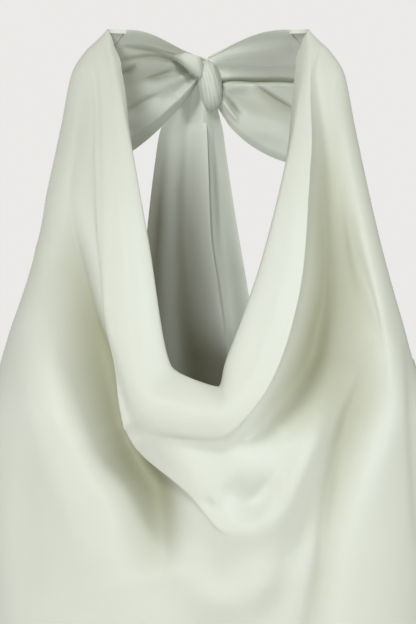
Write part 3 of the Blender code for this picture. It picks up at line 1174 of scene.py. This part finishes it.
@dataclass
class NeckTie(Piece):
    """A wide tie behind the neck, pleated into the knot.

    Args:
        knot: The knot that it runs into.
    """

    knot: KnotSizes

    def _grid(self) -> tuple[Grid, Grid]:
        sizes = self.sizes
        sign = sizes.side.value
        down = np.linspace(0.0, 1.0, sizes.across + 1)[:, None]
        along = np.linspace(0.0, 1.0, sizes.along + 1)[None, :]
        top, foot = np.array(sizes.top, float), np.array(sizes.foot, float)
        height = sizes.top_height + (sizes.foot_height - sizes.top_height) * down[:, 0]
        angle = SHOULDER.seam(height)
        start = FORM.place(sign * angle, height, 0.0 * height)
        ahead = FORM.place(sign * (angle + sizes.ahead), height, 0.0 * height) - start
        ahead /= np.linalg.norm(ahead, axis=1)[:, None]
        start = start + ahead * sizes.seam_gap
        reach, drop, knot_reach, rise, knot_height = (top + (foot - top) * down**sizes.row_power).T
        leave = ahead * reach[:, None]
        leave[:, 2] += drop
        knot_x = self.knot.side(sizes.side, knot_height) + sign * self.knot.gap
        end = np.stack([knot_x, np.full(len(down), sizes.knot_y), knot_height], axis=1)
        arrive = np.stack([-sign * knot_reach, np.full(len(down), sizes.backward), rise], axis=1)
        points = cubic(along[..., None], start[:, None], leave[:, None], end[:, None], arrive[:, None])
        wave = np.sin(2 * math.pi * sizes.pleats * down) * sizes.pleat_depth
        wave = wave * np.interp(along, (sizes.pleats_from, sizes.pleats_full), (0.0, 1.0))
        for crease in sizes.creases:
            wave = wave - crease.pushes(points[..., 0], points[..., 2])
        under = np.clip((down - 1.0 + sizes.turned) / sizes.turned, 0.0, 1.0) ** sizes.turned_power
        inside = np.clip(along, sizes.turned_end, 1.0 - sizes.turned_end)
        points[..., 1] += wave + sizes.turned_depth * under * np.sin(math.pi * inside) ** sizes.turned_fade
        return points, wave

    def build(self) -> bpy.types.Object:
        """Makes and hands over the tie.

        Returns:
            The piece.
        """
        sizes = self.sizes
        label = sizes.side.label
        grid, wave = self._grid()
        # Painted shade: the deeper a pleat or crease sinks back, the more the satin darkens it.
        fold = np.clip(wave / sizes.shade_depth, 0.0, sizes.shade_most)
        piece = Sheet(f"neck_tie_band_{label}", grid, sizes.thickness, fold).build(self.finish)
        hand_over(piece, f"neck_tie_{label}")
        return piece


@dataclass(frozen=True)
class TailSizes:
    """One tie end below the knot. Each row is height, left edge, right edge and y."""

    side: Side
    rows: tuple[Row, ...]
    wave: float
    flat: tuple[float, float]
    cut_share: float = 0.85
    thickness: float = 1.1
    waves: float = 1.25
    full_width: float = 40.0
    across: int = 60
    steps: int = 18


class TieEnd(Piece):
    """A tie end that hangs from the knot down the back."""

    sizes: TailSizes

    def _grid(self) -> Grid:
        sizes = self.sizes
        rows, _ = fill_in(sizes.rows, [sizes.steps] * (len(sizes.rows) - 1))
        height, left, right, y = (rows[:, k][:, None] for k in range(4))
        across = np.linspace(0.0, 1.0, sizes.across + 1)[None, :]
        x = left + (right - left) * across
        width = np.clip((right - left) / sizes.full_width, 0.0, 1.0)
        bow = sizes.wave * width * np.sin(2 * math.pi * across * sizes.waves)
        return np.stack([x, y + bow, height + 0.0 * x], axis=-1)

    def build(self) -> bpy.types.Object:
        """Makes and hands over the tie end.

        Returns:
            The piece.
        """
        sizes = self.sizes
        label = sizes.side.label
        piece = Sheet(f"tie_tail_{label}", self._grid(), sizes.thickness).build(self.finish)
        hand_over(piece, f"tie_end_{label}")
        return piece


TIES = (
    TieSizes(
        Side.LEFT, (66, 4, 60, -10, -16.0), (70, -225, 54, 90, -31),
        creases=(
            # pleats that fan out from the knot
            Crease(((-58, -11), (-39, -12.5), (-27, -15.5)), 1.5, 2.6, -3.2),
            Crease(
                ((-60, -20), (-39, -16), (-24, -17), (-17.5, -20.5), (-13, -25.5), (-8.5, -29)), 1.3, 3, -5, 0.4
            ),
            Crease(((-63, -30), (-56, -26.5), (-49, -22)), 1.2, 3, -4.5),
            Crease(((-43, -31), (-34, -28), (-25, -24)), 1.2, 3.5, -4.2),
            Crease(((-56, -46), (-40, -38), (-24, -31), (-10, -29.5)), 5, 6, 2.4),
            Crease(((-54, -66), (-38, -52), (-22, -40)), 8, 8, 4.5),
            Crease(((-57, -54), (-46, -47), (-34, -41)), 1.6, 4, -3.8),
        ),
        turned=0.11, turned_depth=13.0,
    ),
    TieSizes(
        Side.RIGHT, (66, 4, 62, -29, -14.4), (70, -175, 50, 108, -49.6),
        creases=(
            # the upper half over the lower one
            Crease(((14, -21), (36, -14), (58, -13)), 9, 9, 3),
            Crease(((7, -31.5), (19, -30.5), (32, -31.5), (45, -32), (63, -34)), 1.5, 1.6, -7, 0.2),
            Crease(((10, -38.5), (19, -35.2), (32, -33.6)), 1.2, 4, 2.2),
            Crease(((32, -34.6), (45.5, -44), (60, -53.5)), 1.3, 7, -5.0),
            # tucks beside the knot
            Crease(((10, -43.5), (16.5, -53.7), (21, -59)), 1.2, 1.6, 3),
            Crease(((12.5, -41), (18.5, -49), (23, -55.5)), 1.2, 1.7, -3.8),
            Crease(((8, -47), (12, -56), (16, -63)), 1.2, 1.7, -2.8),
            Crease(((22, -66), (38, -66), (56, -74)), 7, 6, 2.5),
        ),
        turned=0.04, turned_depth=4.0,
    ),
)
TAILS = (
    TailSizes(
        Side.LEFT,
        (
            (-30, -13, -4.4, 88.9), (-42, -21, -3, 88.9), (-54, -27.5, -1.5, 87), (-66, -33, -0.6, 84.5),
            (-88, -36.5, 0.2, 84), (-135, -42, 2, 86), (-172, -45, 7, 88), (-217, -48, 13, 91),
            (-260, -50, 17, 94), (-345, -50, 21, 99), (-430, -49, 23, 99), (-500, -47, 24, 109),
            (-560, -45, 25, 121), (-590, -20, 25, 126),
        ),
        wave=-3.4,
        flat=(0.085, 0.57),
    ),
    TailSizes(
        Side.RIGHT,
        (
            (-50.5, -2.4, 6.8, 80), (-65, -4.2, 10.3, 86), (-77, -4.6, 12, 89.5), (-112, -6, 17.2, 94),
            (-150, -7, 23.5, 95), (-174, -6, 27.6, 98), (-217, -5, 34, 101), (-260, -5, 39, 104),
            (-345, -6, 46, 108), (-430, -8, 49, 108), (-500, -8, 51, 117), (-560, -8, 52, 129),
            (-585, 24, 52, 133),
        ),
        wave=-2.8,
        flat=(0.075, 0.55),
    ),
)


@dataclass(frozen=True)
class StitchSizes:
    """One row of stitches: from stitch to stitch, a stitch's length and its thread, in metres."""

    spacing: float = 0.0032
    length: float = 0.0023
    thread: float = 0.00032


class Stitching:
    """Rows of small stitches along paths on the cloth."""

    def __init__(self, sizes: StitchSizes, finish: bpy.types.Material) -> None:
        """Makes the node group that lays the stitches.

        Args:
            sizes: The stitches.
            finish: Material of the thread.
        """
        self.sizes = sizes
        self.finish = finish
        tree = bpy.data.node_groups.new("stitch_row", "GeometryNodeTree")
        self.inputs = {
            name: tree.interface.new_socket(name, in_out="INPUT", socket_type=kind).identifier
            for name, kind in (
                ("Path", "NodeSocketGeometry"),
                ("Spacing", "NodeSocketFloat"),
                ("Size", "NodeSocketVector"),
                ("Thread", "NodeSocketMaterial"),
            )
        }
        tree.interface.new_socket("Stitches", in_out="OUTPUT", socket_type="NodeSocketGeometry")
        graph = Graph(tree)
        source = {name: graph.add("NodeGroupInput", output=name) for name in self.inputs}
        curve = graph.add("GeometryNodeMeshToCurve", {}, {"Mesh": source["Path"]})
        dots = graph.add(
            "GeometryNodeResampleCurve", {"mode": "LENGTH"}, {"Curve": curve, "Length": source["Spacing"]}
        )
        tangent = graph.add("GeometryNodeInputTangent")
        turn = graph.add("FunctionNodeAlignRotationToVector", {"axis": "Z"}, {"Vector": tangent})
        bead = graph.add("GeometryNodeMeshUVSphere", {}, {"Segments": 6, "Rings": 4, "Radius": 0.5})
        row = graph.add(
            "GeometryNodeInstanceOnPoints",
            {},
            {"Points": dots, "Instance": bead, "Rotation": turn, "Scale": source["Size"]},
        )
        real = graph.add("GeometryNodeRealizeInstances", {}, {"Geometry": row})
        done = graph.add("GeometryNodeSetMaterial", {}, {"Geometry": real, "Material": source["Thread"]})
        graph.link(done, tree.nodes.new("NodeGroupOutput").inputs["Stitches"])
        self.tree = tree

    def build(self, name: str, paths: Sequence[Grid]) -> bpy.types.Object:
        """Lays stitches along the paths.

        Args:
            name: The piece's name.
            paths: Points of each path, in millimetres.

        Returns:
            The piece.
        """
        points, edges = [], []
        for path in paths:
            start = len(points)
            points += (np.asarray(path) * MM).tolist()
            edges += [(start + i, start + i + 1) for i in range(len(path) - 1)]
        guide = bpy.data.meshes.new(name + "_guide")
        guide.from_pydata(points, edges, [])
        piece = bpy.data.objects.new(name, guide)
        bpy.context.scene.collection.objects.link(piece)
        modifier = piece.modifiers.new("stitches", "NODES")
        modifier.node_group = self.tree
        sizes = self.sizes
        modifier[self.inputs["Spacing"]] = sizes.spacing
        modifier[self.inputs["Size"]] = (sizes.thread, sizes.thread, sizes.length)
        modifier[self.inputs["Thread"]] = self.finish
        graph = bpy.context.evaluated_depsgraph_get()
        mesh = bpy.data.meshes.new_from_object(piece.evaluated_get(graph))
        piece.modifiers.remove(modifier)
        piece.data = mesh
        bpy.data.meshes.remove(guide)
        LOG.info("%s: %d faces", name, len(mesh.polygons))
        return piece


@dataclass(frozen=True)
class Lamp:
    """One round soft box, with its size and distance in metres and its power in watts.

    Azimuth 0 is in front and 90 at the viewer's right. Elevation is above the middle of the picture.
    """

    name: str
    azimuth: float
    elevation: float
    size: float
    power: float
    tone: Row
    distance: float = 3.0

    def build(self, aim: Vector) -> None:
        """Makes the lamp.

        Args:
            aim: What it points at.
        """
        data = bpy.data.lights.new(self.name, "AREA")
        data.shape = "DISK"
        data.size = self.size
        data.energy = self.power
        data.color = self.tone
        lamp = bpy.data.objects.new(self.name, data)
        turn, rise = math.radians(self.azimuth), math.radians(self.elevation)
        way = Vector((math.sin(turn) * math.cos(rise), -math.cos(turn) * math.cos(rise), math.sin(rise)))
        lamp.location = aim + way * self.distance
        lamp.rotation_euler = (-way).to_track_quat("-Z", "Y").to_euler()
        bpy.context.scene.collection.objects.link(lamp)


@dataclass(frozen=True)
class Studio:
    """Camera, light and floor.

    distance is from the camera to the neck loop's plane, height is the camera's, and frame_height is the
    picture's at that plane.
    """

    distance: float = 2.6
    height: float = -0.19028
    frame_height: float = 0.41808
    sensor: float = 24.0
    floor: float = -1.45
    backdrop: tuple[float, float, float, float] = linear(235, 234, 232)
    fill: tuple[float, float, float, float] = (1.0, 0.86, 0.6, 1.0)
    fill_strength: float = 0.2
    lamps: tuple[Lamp, ...] = (
        Lamp("key", -28, 35, 0.7, 43.0, (0.97, 0.985, 1.0)),
        Lamp("front", -6, -6, 0.4, 30.0, (0.97, 0.985, 1.0)),
        Lamp("far_left", -95, 5, 1.2, 25.0, (0.93, 0.98, 1.0)),
        Lamp("right", 42, 28, 0.5, 24.0, (0.95, 0.985, 1.0)),
        Lamp("far_right", 82, 8, 1.2, 34.0, (0.95, 0.985, 1.0)),
    )

    def camera(self) -> None:
        """Places the camera as in the photograph."""
        data = bpy.data.cameras.new("camera")
        data.sensor_fit = "VERTICAL"
        data.sensor_height = self.sensor
        data.lens = self.sensor * self.distance / self.frame_height
        camera = bpy.data.objects.new("camera", data)
        camera.location = (0.0, -self.distance, self.height)
        camera.rotation_euler = (math.radians(90), 0.0, 0.0)
        bpy.context.scene.collection.objects.link(camera)
        bpy.context.scene.camera = camera

    def world(self) -> None:
        """A dim warm fill, behind a plain pale backdrop."""
        world = bpy.data.worlds.new("studio")
        bpy.context.scene.world = world
        world.use_nodes = True
        graph = Graph(world.node_tree)
        seen = graph.add("ShaderNodeLightPath", output="Is Camera Ray")
        fill = graph.add("ShaderNodeBackground", {}, {"Color": self.fill, "Strength": self.fill_strength})
        plain = graph.add("ShaderNodeBackground", {}, {"Color": self.backdrop, "Strength": 1.0})
        both = graph.add("ShaderNodeMixShader", {}, {0: seen, 1: fill, 2: plain})
        graph.close("ShaderNodeOutputWorld", both)

    def stage(self) -> None:
        """A round pale floor below the hem."""
        place = (0, 0, self.floor)
        bpy.ops.mesh.primitive_circle_add(vertices=96, radius=3.0, fill_type="NGON", location=place)
        floor = bpy.context.object
        floor.name = "studio_floor"
        floor.data.materials.append(PlainFinish().build("studio_floor"))

    def build(self) -> None:
        """Sets up all of the studio."""
        self.camera()
        self.world()
        self.stage()
        for lamp in self.lamps:
            lamp.build(Vector((0.0, 0.0, self.height)))
        bpy.context.scene.view_settings.view_transform = "Standard"


def main() -> None:
    """Builds the dress piece by piece and hands it over."""
    logging.basicConfig(level=logging.INFO, format="%(name)s: %(message)s")
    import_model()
    satin = SatinFinish().build("satin")
    Studio().build()
    stitching = Stitching(StitchSizes(), satin)
    FrontPanel(FrontSizes(), satin).build(stitching)
    BackPanel(BackSizes(), satin).build(stitching)
    knot = KnotSizes()
    Knot(knot, satin).build()
    for tie in TIES:
        NeckTie(tie, satin, knot).build()
    for tail in TAILS:
        TieEnd(tail, satin).build()
    LOG.info("dress handed over")


if __name__ == "__main__":
    main()
